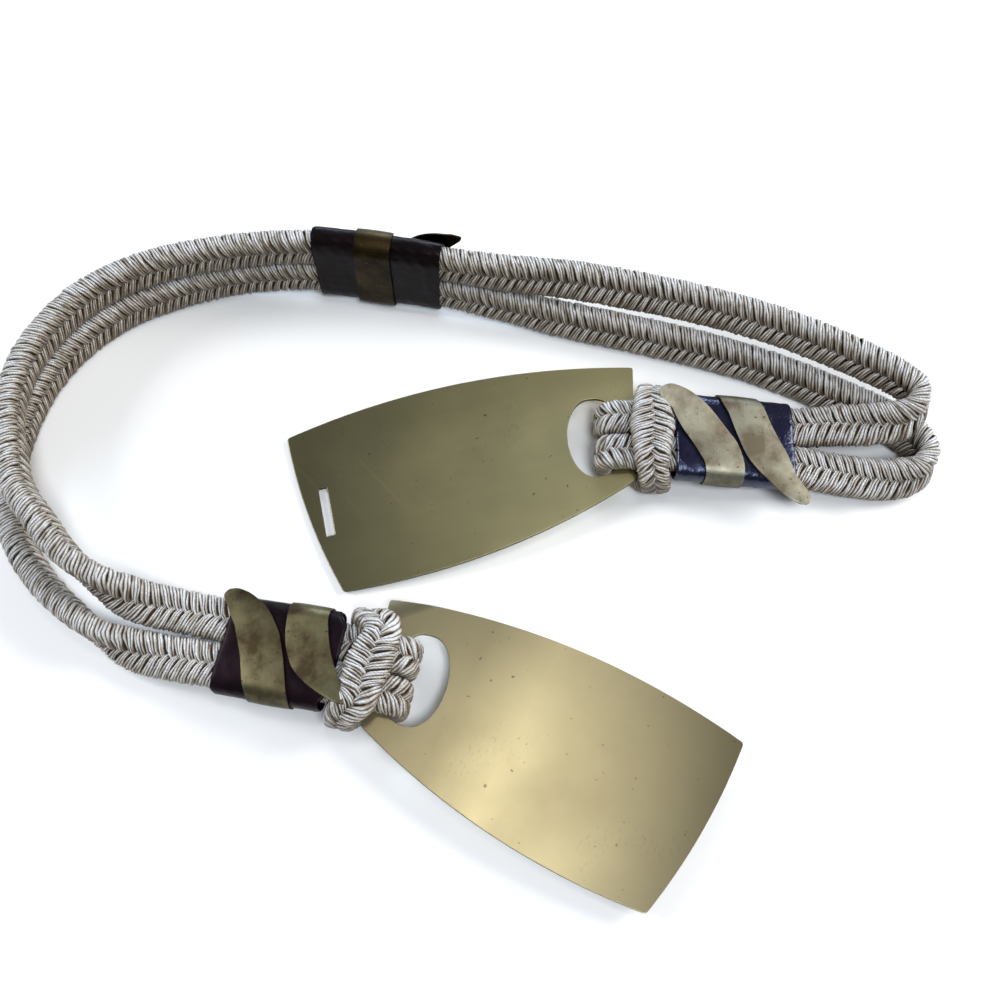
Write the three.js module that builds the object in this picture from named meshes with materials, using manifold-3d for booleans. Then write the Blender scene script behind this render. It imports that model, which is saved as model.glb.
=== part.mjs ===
// Braided cord waist belt with two brass hook plates and leather wraps, lying on a table.
// Millimetres, +Z up. The two plates point into the loop and their outer faces are up.
import * as THREE from "three";
import { mergeVertices } from "three/addons/utils/BufferGeometryUtils.js";
import Module from "manifold-3d";

const wasm = await Module();
wasm.setup();

// Sections of the flat braid: two round lobes side by side with a groove between them.
const looseCord = { lobe: 3.65, offset: 3.4, groove: 2.85 };
const knottedCord = { lobe: 2.95, offset: 3.15, groove: 2.35 };
const lobeAngles = [-80, -40, 0, 40, 80];
const stepsPerRow = { loose: 2, knotted: 2 };

// Leather wraps round both cords, and the brass ribbon wound once round each wrap.
const wrap = { halfWidth: 14.5, halfThickness: 3.9, leather: 1.0, corner: 3.6 };
const ribbon = { thickness: 0.8, clearance: 0.3, steps: 46 };
const cordSpacing = 14.3;

// Each plate in its own frame: x from the narrow end to the wide end, y towards the top cord.
// The two plates are cut by hand, so each has its own size beside this outline.
// The slot is an oval, squarer on the side of the plate's end.
const plate = { thickness: 1.25, slotTilt: 12, curveSteps: 18 };
const plateSides = [
  { x: 6.0, y: -19.5, bulge: 5.5 },
  { x: 104.5, y: -29.0, bulge: 2.2 },
  { x: 111.0, y: 29.0, bulge: 7.4 },
  { x: -6.0, y: 20.0, bulge: 0.0 },
];
const cordSlot = { x: 14.9, depth: 8.3, halfLength: 14.4, square: 3.0 };
const hookSlit = { x: 105.8, y: -0.8, width: 3.0, length: 17.5, tilt: -3 };
const hook = { x: 100.5, width: 14.0, thickness: 1.3, drop: 4.4, reach: 6.5, sunk: 0.6 };

// Where the two plates lie: the middle of the narrow end, and how the plate slopes down from it.
const plateA = {
  x: 44.8, y: 24.2, heading: -164.4, mirror: -1, size: 1.018, slotY: -0.9, wideEndHeight: 0.05,
};
const plateB = {
  x: -37.8, y: -57.7, heading: -27.1, mirror: 1, size: 0.982, slotY: 0.9, wideEndHeight: 4.35,
};
const narrowEndHeight = 7.5;
const plateReach = 112;

// Where the cords leave each plate, and how the wrap comes down from the knot to the table.
const leadA = { x: 45.4, y: 17.9, heading: -2.2, side: 1, wrapEnd: 50.3, ribbonAt: 31.0 };
const leadB = { x: -39.3, y: -61.3, heading: 168.2, side: -1, wrapEnd: 44.8, ribbonAt: 28.0 };
const wrapStart = 13.1;
const wrapFall = { from: 12.0, height: 12.1, slope: 0.13 };

// The knotted cord ends and the long cord starts inside the wrap, with a small gap between them.
const cordsMeetAt = 30.0;
const meetingGap = 0.3;
const wrapRows = { startsAt: [39], endsAt: [45, 37] };

// The knot on a plate, one half of it: the leg comes out of the wrap over the bar, goes down the
// slot, back under the bar, outwards and up round the legs, and across them.
// Columns: along the band away from the plate, across it, height, and the cord's wide direction.
const knotHalf = [
  { x: 17.0, y: 6.9, z: 11.5, wide: [0, 1, 0] },
  { x: 6.0, y: 6.4, z: 12.1, wide: [0, 1, 0] },
  { x: -3.0, y: 6.3, z: 12.15, wide: [0, 1, 0] },
  { x: -7.2, y: 6.3, z: 12.15, wide: [0, 1, 0] },
  { x: -10.3, y: 6.3, z: 10.8, wide: [0, 1, 0] },
  { x: -11.6, y: 6.3, z: 7.6, wide: [0, 1, 0] },
  { x: -10.3, y: 6.3, z: 4.4, wide: [0, 1, 0] },
  { x: -7.2, y: 6.3, z: 3.05, wide: [0, 1, 0] },
  { x: -3.0, y: 6.9, z: 3.05, wide: [-0.1, 1, 0] },
  { x: 1.6, y: 9.0, z: 3.05, wide: [-0.7, 0.7, 0] },
  { x: 4.9, y: 12.0, z: 3.2, wide: [-0.95, 0.25, 0] },
  { x: 6.6, y: 15.0, z: 5.8, wide: [-1, 0, 0] },
  { x: 6.5, y: 15.8, z: 9.8, wide: [-1, 0, 0.05] },
  { x: 5.2, y: 14.6, z: 14.2, wide: [-1, 0, 0.15] },
];
const knotCrown = [
  { y: 10.4, z: 17.5, wide: [-1, 0, 0] },
  { y: 5.2, z: 18.3, wide: [-1, 0, 0] },
  { y: 0.0, z: 18.4, wide: [-1, 0, 0] },
];
const crownAt = { a: 4.4, b: 1.2 };

// The leaf at each end of a ribbon: half its width by the distance from its tip, and how far it
// drifts along the wrap by the distance from the edge that it comes over.
const leafWidth = [
  { from: 0.0, half: 0.8 },
  { from: 2.0, half: 3.0 },
  { from: 6.0, half: 5.3 },
  { from: 12.0, half: 6.9 },
  { from: 20.0, half: 7.4 },
  { from: 28.0, half: 7.2 },
  { from: 37.0, half: 6.4 },
];
const leafDrift = [
  { from: 0.0, along: 2.0 },
  { from: 9.5, along: 5.0 },
  { from: 17.8, along: 8.9 },
  { from: 25.2, along: 13.2 },
  { from: 32.3, along: 17.8 },
  { from: 37.8, along: 24.0 },
];
// Where the two leaf tips of each ribbon end across the band, how strongly they drift, and how
// far the tip by the top cord is bent up to clear the knot.
const tipsA = { high: 13.0, low: 21.5, highDrift: 1.3, lowDrift: 1.0, lift: 3.4 };
const tipsB = { high: 15.1, low: 11.5, highDrift: 1.15, lowDrift: 0.5, lift: 0 };
const tipsBack = { high: 15.5, low: 13.5, highDrift: 1.6, lowDrift: 1.1, lift: 0 };
const liftedLength = 9;
const backRibbonShare = 0.48;

// Routes of the two long cords from the wrap at plate B round the loop to the wrap at plate A.
// Columns: x, y and height of the cord's middle, and its lean: 0 stands on edge, 90 lies flat
// with its outer face up, below 0 leans out of the loop.
const topRoute = [
  [-99.0, -41.4, 7.6, 86],
  [-111.5, -39.2, 11.3, 58],
  [-122.5, -35.0, 16.2, 28],
  [-133, -28, 19.8, 10],
  [-142, -17.6, 21.3, 7],
  [-149.5, -5.2, 21.6, 6],
  [-154.8, 8.0, 21.7, 4],
  [-157.5, 22.0, 21.7, 0],
  [-156.0, 38.0, 21.7, -3],
  [-150.0, 52.0, 21.7, -5],
  [-140.5, 64.3, 21.7, -7],
  [-127.0, 74.0, 21.7, -6],
  [-111.0, 80.3, 21.7, -5],
  [-96.0, 83.4, 22.0, -4],
  [-81.0, 84.8, 22.9, -3],
  [-63.5, 84.4, 23.9, -3],
  [-42.0, 81.4, 23.9, -3],
  [-20.0, 77.5, 23.9, -3],
  [1.0, 74.7, 22.7, -12],
  [24.0, 73.0, 20.5, -28],
  [47.5, 68.8, 19.1, -33],
  [69.0, 62.8, 19.4, -31],
  [89.5, 55.6, 19.8, -28],
  [107.0, 47.4, 20.1, -24],
  [120.0, 40.6, 20.3, -18],
  [129.6, 34.9, 20.4, -11],
  [135.3, 29.2, 20.4, 0],
  [134.6, 23.4, 20.0, 14],
  [129.6, 20.0, 18.5, 38],
  [120.5, 20.2, 15.0, 66],
  [109.0, 22.0, 10.6, 84],
];
const lowerRoute = [
  [-101.0, -55.8, 5.9, 82],
  [-111.8, -53.3, 5.9, 50],
  [-122.4, -48, 7.0, 20],
  [-132.4, -39.6, 7.1, 9],
  [-142.3, -29.4, 7.1, 6],
  [-151.6, -17.8, 7.1, 5],
  [-157.4, -5.0, 7.1, 4],
  [-159.8, 10.0, 7.1, 2],
  [-158.8, 26.0, 7.1, -2],
  [-154.3, 41.6, 7.1, -4],
  [-145.7, 56.0, 7.1, -6],
  [-132.6, 68.6, 7.1, -7],
  [-117.0, 76.8, 7.1, -6],
  [-100.0, 82.0, 7.5, -4],
  [-83.0, 84.0, 8.5, -3],
  [-63.5, 83.6, 9.6, -3],
  [-42.0, 80.6, 9.6, -3],
  [-20.0, 76.7, 9.6, -3],
  [0.0, 71.9, 8.6, -12],
  [22.0, 66.3, 7.2, -26],
  [45.0, 60.7, 6.7, -30],
  [66.0, 55.2, 6.75, -28],
  [86.0, 48.6, 6.8, -27],
  [104.0, 40.8, 6.65, -31],
  [118.0, 33.2, 6.4, -38],
  [129.0, 26.4, 6.3, -42],
  [136.4, 20.2, 6.6, -34],
  [140.0, 13.2, 7.1, -6],
  [137.4, 7.2, 7.0, 18],
  [130.5, 4.8, 6.3, 42],
  [121.0, 5.0, 5.6, 66],
  [109.0, 6.7, 6.1, 84],
];
const backWrapRows = { first: 18, span: 2 };

// The model is moved so that its origin lies under the middle of its box.
const middle = { x: -9.765, y: -20.09, z: -0.04 };

const finishes = {
  braid: { color: 0xa79c90, roughness: 0.55, metalness: 0.05 },
  leather: { color: 0x1c1420, roughness: 0.28, metalness: 0.0 },
  ribbonBrass: { color: 0x8c7a48, roughness: 0.38, metalness: 0.9 },
  plateBrass: { color: 0x9a8750, roughness: 0.34, metalness: 0.95 },
};

const up = new THREE.Vector3(0, 0, 1);

function radians(degrees) {
  return THREE.MathUtils.degToRad(degrees);
}

function finish(name) {
  return new THREE.MeshStandardMaterial(finishes[name]);
}

function named(name, geometry, finishName) {
  const mesh = new THREE.Mesh(geometry, finish(finishName));
  mesh.name = name;
  return mesh;
}

// A smooth route that also carries the direction in which the cord is wide.
class WideRoute extends THREE.CatmullRomCurve3 {
  constructor(points, wide) {
    super(points, false, "centripetal");
    this.wide = new THREE.CatmullRomCurve3(wide, false, "catmullrom", 0.5);
  }

  wideAt(t) {
    const tangent = this.getTangent(t);
    const wide = this.wide.getPoint(t);
    return wide.addScaledVector(tangent, -wide.dot(tangent)).normalize();
  }

  getSpacedPoints(steps) {
    return this.getPoints(steps);
  }

  computeFrenetFrames(steps) {
    const frames = { tangents: [], normals: [], binormals: [] };
    for (let i = 0; i <= steps; i += 1) {
      const tangent = this.getTangent(i / steps);
      const wide = this.wideAt(i / steps);
      frames.tangents.push(tangent);
      frames.normals.push(wide);
      frames.binormals.push(tangent.clone().cross(wide));
    }
    return frames;
  }
}

// The frame of the band where it leaves a plate: x away from the plate, y towards the top cord.
function bandFrame(lead) {
  const turn = radians(lead.heading);
  const along = new THREE.Vector3(Math.cos(turn), Math.sin(turn), 0);
  const across = new THREE.Vector3(-Math.sin(turn), Math.cos(turn), 0).multiplyScalar(lead.side);
  const origin = new THREE.Vector3(lead.x, lead.y, 0);
  return { along, across, origin };
}

function inBand(frame, x, y, z) {
  const point = frame.origin.clone();
  return point.addScaledVector(frame.along, x).addScaledVector(frame.across, y).addScaledVector(up, z);
}

function bandDirection(frame, [x, y, z]) {
  const direction = new THREE.Vector3(0, 0, z);
  return direction.addScaledVector(frame.along, x).addScaledVector(frame.across, y);
}

function wrapHeight(x) {
  return wrapFall.height - wrapFall.slope * Math.max(0, x - wrapFall.from);
}

// Two lobes and the groove between them, as one closed outline with 12 corners.
function cordSection({ lobe, offset, groove }) {
  const corners = [];
  for (const side of [1, -1]) {
    for (const degrees of lobeAngles) {
      const angle = radians(degrees);
      corners.push([side * (offset + lobe * Math.cos(angle)), side * lobe * Math.sin(angle)]);
    }
    corners.push([0, side * groove]);
  }
  return new THREE.Shape(corners.map(([x, y]) => new THREE.Vector2(x, y)));
}

function sweep(shape, route, steps, curveSegments = 3) {
  return new THREE.ExtrudeGeometry(shape, { steps, extrudePath: route, curveSegments });
}

function roundedRectangle(halfWidth, halfHeight, radius) {
  const shape = new THREE.Shape();
  const x = halfWidth - radius;
  const y = halfHeight - radius;
  shape.absarc(x, y, radius, 0, Math.PI / 2);
  shape.absarc(-x, y, radius, Math.PI / 2, Math.PI);
  shape.absarc(-x, -y, radius, Math.PI, 1.5 * Math.PI);
  shape.absarc(x, -y, radius, 1.5 * Math.PI, 2 * Math.PI);
  shape.closePath();
  return shape;
}

function sleeveSection() {
  const { halfWidth, halfThickness, leather, corner } = wrap;
  const outer = roundedRectangle(halfWidth + leather, halfThickness + leather, corner + leather);
  outer.holes.push(roundedRectangle(halfWidth, halfThickness, corner));
  return outer;
}

// The long cords. Both ends run straight inside the wraps, where they meet the knotted cords.
function insideWrap(lead, x, across) {
  return inBand(bandFrame(lead), x, across * cordSpacing / 2, wrapHeight(x));
}

function longRoute(rows, across) {
  const frameB = bandFrame(leadB);
  const frameA = bandFrame(leadA);
  const firstAt = cordsMeetAt + meetingGap / 2;
  const startRows = [firstAt, ...wrapRows.startsAt, leadB.wrapEnd + 1];
  const endRows = [leadA.wrapEnd + 1, ...wrapRows.endsAt, firstAt];
  const points = startRows.map((x) => insideWrap(leadB, x, across));
  points.push(...rows.map(([x, y, z]) => new THREE.Vector3(x, y, z)));
  points.push(...endRows.map((x) => insideWrap(leadA, x, across)));
  const flatCurve = new THREE.CatmullRomCurve3(points, false, "centripetal");
  const wide = points.map((point, i) => {
    const row = rows[i - startRows.length];
    if (!row) return i < startRows.length ? frameB.across.clone() : frameA.across.clone();
    const tangent = flatCurve.getTangent(i / (points.length - 1));
    const inwards = tangent.clone().cross(up).normalize();
    const upright = inwards.clone().cross(tangent);
    const lean = radians(row[3]);
    return upright.multiplyScalar(Math.cos(lean)).addScaledVector(inwards, Math.sin(lean));
  });
  return new WideRoute(points, wide);
}

function longCord(name, route) {
  const steps = (route.points.length - 1) * stepsPerRow.loose;
  return named(name, sweep(cordSection(looseCord), route, steps), "braid");
}

// The knotted cord on a plate: both halves of the knot and the crown that joins them.
function knotRoute(lead, crownX) {
  const frame = bandFrame(lead);
  const start = cordsMeetAt - meetingGap / 2;
  const rows = [{ x: start, y: cordSpacing / 2, z: wrapHeight(start), wide: [0, 1, 0] }];
  rows.push(...knotHalf);
  rows.push(...knotCrown.map((row) => ({ ...row, x: crownX })));
  const mirrored = rows.slice(0, -1).reverse().map(({ x, y, z, wide }) => {
    return { x, y: -y, z, wide: [wide[0], -wide[1], wide[2]] };
  });
  const all = [...rows, ...mirrored];
  const points = all.map(({ x, y, z }) => inBand(frame, x, y, z));
  return new WideRoute(points, all.map(({ wide }) => bandDirection(frame, wide)));
}

function knot(name, lead, crownX) {
  const route = knotRoute(lead, crownX);
  const steps = (route.points.length - 1) * stepsPerRow.knotted;
  return named(name, sweep(cordSection(knottedCord), route, steps), "braid");
}

// Leather wraps: a straight one at each plate, and one at the back that follows both cords.
function endWrapRoute(lead) {
  const frame = bandFrame(lead);
  const ends = [wrapStart, lead.wrapEnd].map((x) => inBand(frame, x, 0, wrapHeight(x)));
  return new WideRoute(ends, [frame.across, frame.across]);
}

function backWrapRoute(top, lower) {
  const points = [];
  const wide = [];
  const rows = backWrapRows;
  for (let i = 0; i <= rows.span * 2; i += 1) {
    const high = top.getPoint((rows.first + i / 2) / (top.points.length - 1));
    const low = lower.getPoint((rows.first + i / 2) / (lower.points.length - 1));
    points.push(high.clone().add(low).multiplyScalar(0.5));
    wide.push(high.sub(low).normalize());
  }
  return new WideRoute(points, wide);
}

function leatherWrap(name, route, steps) {
  return named(name, sweep(sleeveSection(), route, steps), "leather");
}

// Reads a column of a leaf table at a distance.
function readTable(table, distance, column) {
  const next = table.findIndex((row) => row.from >= distance);
  if (next < 0) return table[table.length - 1][column];
  if (next === 0) return table[0][column];
  const low = table[next - 1];
  const high = table[next];
  const share = (distance - low.from) / (high.from - low.from);
  return THREE.MathUtils.lerp(low[column], high[column], share);
}

// The ribbon's run round the wrap, seen along the band: in over the outer face, round the lower
// edge, up the inner face, round the top edge and out over the outer face again.
function ribbonGirth(level, tips) {
  const w = wrap.halfWidth + wrap.leather + level;
  const h = wrap.halfThickness + wrap.leather + level;
  const r = wrap.corner + wrap.leather + level;
  const girth = new THREE.Path();
  girth.moveTo(tips.high, h);
  girth.lineTo(r - w, h);
  girth.absarc(r - w, h - r, r, Math.PI / 2, Math.PI);
  girth.absarc(r - w, r - h, r, Math.PI, 1.5 * Math.PI);
  girth.lineTo(w - r, -h);
  girth.absarc(w - r, r - h, r, 1.5 * Math.PI, 2 * Math.PI);
  girth.absarc(w - r, h - r, r, 0, Math.PI / 2);
  girth.lineTo(-tips.low, h);
  return girth;
}

// How a ribbon lies at a share of its run: its drift along the wrap, half its width and its lift.
function ribbonAt(share, girth, tips) {
  const edge = wrap.halfWidth + wrap.leather;
  const across = girth.getPointAt(share).x;
  const length = girth.getLength();
  const isHigh = share < 0.5;
  const fromTip = (isHigh ? share : 1 - share) * length;
  const fromEdge = Math.max(0, isHigh ? edge + across : edge - across);
  const faceLength = edge + (isHigh ? tips.high : tips.low);
  const bent = Math.max(0, 1 - fromTip / liftedLength);
  if (fromTip < faceLength) {
    const drift = readTable(leafDrift, fromEdge, "along");
    const start = leafDrift[0].along;
    const along = start + (drift - start) * (isHigh ? tips.highDrift : tips.lowDrift);
    const half = readTable(leafWidth, fromTip, "half");
    return { along: isHigh ? along : -along, half, lift: isHigh ? tips.lift * bent * bent : 0 };
  }
  const inner = (fromTip - faceLength) / (length / 2 - faceLength);
  const along = leafDrift[0].along * (1 - Math.min(1, inner));
  const half = readTable(leafWidth, fromTip, "half");
  return { along: isHigh ? along : -along, half, lift: 0 };
}

// A ribbon in the frame of its wrap: along the band, across it towards the top cord, outwards.
function wrapRibbon(name, route, centreShare, tips) {
  const girth = ribbonGirth(ribbon.clearance + ribbon.thickness / 2, tips);
  const strip = new THREE.BoxGeometry(1, 1, 1, 1, ribbon.steps, 1);
  const origin = route.getPoint(centreShare);
  const along = route.getTangent(centreShare);
  const across = route.wideAt(centreShare);
  const outwards = across.clone().cross(along);
  const corners = strip.attributes.position;
  for (let i = 0; i < corners.count; i += 1) {
    const share = THREE.MathUtils.clamp(corners.getY(i) + 0.5, 0, 1);
    const point = girth.getPointAt(share);
    const tangent = girth.getTangentAt(share);
    const level = -corners.getZ(i) * ribbon.thickness;
    const lie = ribbonAt(share, girth, tips);
    const position = origin.clone();
    position.addScaledVector(along, lie.along + corners.getX(i) * 2 * lie.half);
    position.addScaledVector(across, point.x - tangent.y * level);
    position.addScaledVector(outwards, point.y + tangent.x * level + lie.lift);
    corners.setXYZ(i, position.x, position.y, position.z);
  }
  return named(name, strip, "ribbonBrass");
}

// The brass plates. Plate A is the mirror image of plate B, so its outline is drawn mirrored.
function bulgedOutline({ mirror, size }) {
  const sides = plateSides.map(({ x, y, bulge }) => {
    return { x: x * size, y: y * size * mirror, bulge: bulge * size * mirror };
  });
  const shape = new THREE.Shape();
  shape.moveTo(sides[0].x, sides[0].y);
  sides.forEach((side, i) => {
    const next = sides[(i + 1) % sides.length];
    const length = Math.hypot(next.x - side.x, next.y - side.y);
    const outX = (next.y - side.y) / length;
    const outY = (side.x - next.x) / length;
    const midX = (side.x + next.x) / 2 + outX * side.bulge * 2;
    const midY = (side.y + next.y) / 2 + outY * side.bulge * 2;
    if (side.bulge !== 0) shape.quadraticCurveTo(midX, midY, next.x, next.y);
    else shape.lineTo(next.x, next.y);
  });
  return shape;
}

function slotHole({ mirror, slotY }) {
  const { x, depth, halfLength, square } = cordSlot;
  const centre = new THREE.Vector2(x, slotY * mirror);
  const tilt = radians(plate.slotTilt) * mirror;
  const steps = plate.curveSteps * 2;
  const points = Array.from({ length: steps }, (_, i) => {
    const angle = (i / steps) * 2 * Math.PI;
    const [across, along] = [Math.cos(angle), Math.sin(angle)];
    const power = across > 0 ? 1 : 2 / square;
    const a = Math.sign(across) * Math.abs(across) ** power * depth;
    const b = Math.sign(along) * Math.abs(along) ** power * halfLength;
    return new THREE.Vector2(centre.x + a, centre.y + b).rotateAround(centre, tilt);
  });
  return new THREE.Path(points);
}

function slitHole({ mirror }) {
  const { x, y, width, length, tilt } = hookSlit;
  const centre = new THREE.Vector2(x, y * mirror);
  const corners = [[-1, -1], [1, -1], [1, 1], [-1, 1]];
  const points = corners.map(([a, b]) => {
    const corner = new THREE.Vector2(x + a * width / 2, centre.y + b * length / 2);
    return corner.rotateAround(centre, radians(-tilt) * mirror);
  });
  return new THREE.Path(points);
}

function plateSolid(place, holes) {
  const shape = bulgedOutline(place);
  shape.holes.push(...holes);
  const options = { depth: plate.thickness, bevelEnabled: false, curveSegments: plate.curveSteps };
  return new THREE.ExtrudeGeometry(shape, options);
}

// The hidden hook under plate B: a tongue bent down and back towards the narrow end.
function hookSolid() {
  const { x, width, thickness, drop, reach, sunk } = hook;
  const side = new THREE.Shape();
  side.moveTo(x, sunk);
  side.lineTo(x, -drop);
  side.lineTo(x - reach, -drop);
  side.lineTo(x - reach, -drop + thickness);
  side.lineTo(x - thickness, -drop + thickness);
  side.lineTo(x - thickness, sunk);
  const solid = new THREE.ExtrudeGeometry(side, { depth: width, bevelEnabled: false });
  solid.rotateX(Math.PI / 2);
  solid.translate(0, width / 2, 0);
  return solid;
}

function toManifold(geometry) {
  const bare = geometry.clone();
  bare.deleteAttribute("normal");
  bare.deleteAttribute("uv");
  const merged = mergeVertices(bare, 1e-4);
  const vertProperties = Float32Array.from(merged.attributes.position.array);
  const triVerts = Uint32Array.from(merged.index.array);
  return new wasm.Manifold(new wasm.Mesh({ numProp: 3, vertProperties, triVerts }));
}

function fromManifold(solid) {
  const mesh = solid.getMesh();
  const geometry = new THREE.BufferGeometry();
  geometry.setAttribute("position", new THREE.BufferAttribute(mesh.vertProperties, 3));
  geometry.setIndex(new THREE.BufferAttribute(mesh.triVerts, 1));
  return geometry;
}

// Puts a plate where it lies, turned and sloped down from its knot.
function layPlate(mesh, place) {
  const fall = Math.atan2(narrowEndHeight - place.wideEndHeight, plateReach);
  mesh.rotation.set(0, fall, radians(place.heading), "ZYX");
  mesh.position.set(place.x, place.y, narrowEndHeight);
  return mesh;
}

const topCord = longRoute(topRoute, 1);
const lowerCord = longRoute(lowerRoute, -1);
const backRoute = backWrapRoute(topCord, lowerCord);
const routeA = endWrapRoute(leadA);
const routeB = endWrapRoute(leadB);
const openPlate = plateSolid(plateA, [slotHole(plateA), slitHole(plateA)]);
const plainPlate = plateSolid(plateB, [slotHole(plateB)]);
const hookedPlate = fromManifold(toManifold(plainPlate).add(toManifold(hookSolid())));

// The wrap at plate A seen the other way, so that all three ribbons run with the band.
function reversed(route) {
  return new WideRoute([...route.points].reverse(), [...route.wide.points].reverse());
}

function ribbonShare(lead) {
  return (lead.ribbonAt - wrapStart) / (lead.wrapEnd - wrapStart);
}

const belt = new THREE.Group();
belt.add(layPlate(named("plate_a", openPlate, "plateBrass"), plateA));
belt.add(layPlate(named("plate_b", hookedPlate, "plateBrass"), plateB));
belt.add(longCord("cord_top", topCord));
belt.add(longCord("cord_bottom", lowerCord));
belt.add(knot("hitch_a", leadA, crownAt.a));
belt.add(knot("hitch_b", leadB, crownAt.b));
belt.add(leatherWrap("wrap_a", routeA, 1));
belt.add(leatherWrap("wrap_b", routeB, 1));
belt.add(leatherWrap("wrap_back", backRoute, 4));
belt.add(wrapRibbon("ribbon_a", reversed(routeA), 1 - ribbonShare(leadA), tipsA));
belt.add(wrapRibbon("ribbon_b", routeB, ribbonShare(leadB), tipsB));
belt.add(wrapRibbon("ribbon_back", backRoute, backRibbonShare, tipsBack));
belt.position.set(-middle.x, -middle.y, -middle.z);

export default belt;
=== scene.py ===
import math

import bmesh
import bpy
import numpy as np
from mathutils import Matrix, Vector


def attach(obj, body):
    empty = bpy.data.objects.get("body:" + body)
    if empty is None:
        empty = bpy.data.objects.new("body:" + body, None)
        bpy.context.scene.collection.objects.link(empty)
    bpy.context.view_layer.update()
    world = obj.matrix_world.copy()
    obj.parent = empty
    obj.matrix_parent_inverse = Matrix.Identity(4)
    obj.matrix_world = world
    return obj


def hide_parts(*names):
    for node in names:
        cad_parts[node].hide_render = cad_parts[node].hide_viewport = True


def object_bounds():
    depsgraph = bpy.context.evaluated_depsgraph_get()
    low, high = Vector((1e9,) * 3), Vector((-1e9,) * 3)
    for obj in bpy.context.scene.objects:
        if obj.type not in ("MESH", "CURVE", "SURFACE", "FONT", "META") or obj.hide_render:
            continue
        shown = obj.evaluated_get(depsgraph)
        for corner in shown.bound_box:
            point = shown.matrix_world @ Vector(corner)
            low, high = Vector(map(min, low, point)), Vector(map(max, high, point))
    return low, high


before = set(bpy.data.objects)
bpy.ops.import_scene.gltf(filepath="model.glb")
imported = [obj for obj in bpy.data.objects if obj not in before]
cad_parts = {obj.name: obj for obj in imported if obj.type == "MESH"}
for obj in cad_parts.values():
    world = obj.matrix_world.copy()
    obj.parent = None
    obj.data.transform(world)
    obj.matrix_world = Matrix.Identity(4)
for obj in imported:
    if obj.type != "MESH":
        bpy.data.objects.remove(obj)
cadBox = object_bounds()

mm = 0.001


def linked(name, data):
    obj = bpy.data.objects.new(name, data)
    bpy.context.scene.collection.objects.link(obj)
    return obj


# camera, as the photograph has it; the frame has its origin at this middle of the layout in mm
middle = np.array((-9.765, -20.09, -0.04))
camera = {"elevation": 65, "distance": 380, "lens": 41.4, "sensor": 36, "nearest": 0.01}


def makeCamera():
    data = bpy.data.cameras.new("Camera")
    data.lens = camera["lens"]
    data.sensor_width = camera["sensor"]
    data.clip_start = camera["nearest"]
    obj = linked("Camera", data)
    rise = math.radians(camera["elevation"])
    back = Vector((0, -math.cos(rise), math.sin(rise)))
    obj.location = Vector(-middle * mm) + back * camera["distance"] * mm
    obj.rotation_euler = (math.pi / 2 - rise, 0, 0)
    bpy.context.scene.camera = obj


makeCamera()
print("camera placed")


# small helpers
def unit(v):
    v = np.asarray(v, float)
    return v / np.maximum(np.linalg.norm(v, axis=-1, keepdims=True), 1e-12)


def bezier(start, mid, end, t):
    return (1 - t) ** 2 * start + 2 * t * (1 - t) * mid + t * t * end


def turned(x, y, angle):
    return x * math.cos(angle) - y * math.sin(angle), x * math.sin(angle) + y * math.cos(angle)


def powered(value, exponent):
    return math.copysign(abs(value) ** exponent, value)


def meshObject(name, points, faces, uv, smooth=True):
    mesh = bpy.data.meshes.new(name)
    mesh.from_pydata([tuple(p) for p in points], [], faces)
    layer = mesh.uv_layers.new(name="UVMap")
    corners = np.array([uv[loop.vertex_index] for loop in mesh.loops], float)
    layer.data.foreach_set("uv", corners.ravel())
    mesh.polygons.foreach_set("use_smooth", [smooth] * len(mesh.polygons))
    return linked(name, mesh)


def evaluatedMesh(obj):
    graph = bpy.context.evaluated_depsgraph_get()
    return bpy.data.meshes.new_from_object(obj.evaluated_get(graph))


def gridFaces(rows, columns, closed=False):
    faces = []
    for i in range(rows - 1):
        for j in range(columns - (0 if closed else 1)):
            k = (j + 1) % columns
            a, b = i * columns + j, i * columns + k
            faces.append((a, b, b + columns, a + columns))
    return faces


def finishPiece(obj, material, node=None):
    obj.data.materials.clear()
    obj.data.materials.append(material)
    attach(obj, "root")
    if node:
        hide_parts(node)


# routes, worked out as in the part's source
def catmull(points, t, centripetal):
    points = np.asarray(points, float)
    count = len(points)
    place = (count - 1) * t
    i = min(int(math.floor(place)), count - 2)
    weight = place - i
    p1, p2 = points[i], points[i + 1]
    p0 = points[i - 1] if i > 0 else 2 * points[0] - points[1]
    p3 = points[i + 2] if i + 2 < count else 2 * points[-1] - points[-2]
    if centripetal:
        d0, d1, d2 = (math.sqrt(np.linalg.norm(b - a)) for a, b in ((p0, p1), (p1, p2), (p2, p3)))
        t1 = ((p1 - p0) / d0 - (p2 - p0) / (d0 + d1) + (p2 - p1) / d1) * d1
        t2 = ((p2 - p1) / d1 - (p3 - p1) / (d1 + d2) + (p3 - p2) / d2) * d1
    else:
        t1, t2 = (p2 - p0) / 2, (p3 - p1) / 2
    c2 = -3 * p1 + 3 * p2 - 2 * t1 - t2
    c3 = 2 * p1 - 2 * p2 + t1 + t2
    return p1 + t1 * weight + c2 * weight**2 + c3 * weight**3


def curveTangent(points, t):
    step = 1e-4
    low, high = max(t - step, 0), min(t + step, 1)
    return unit(catmull(points, high, True) - catmull(points, low, True))


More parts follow.
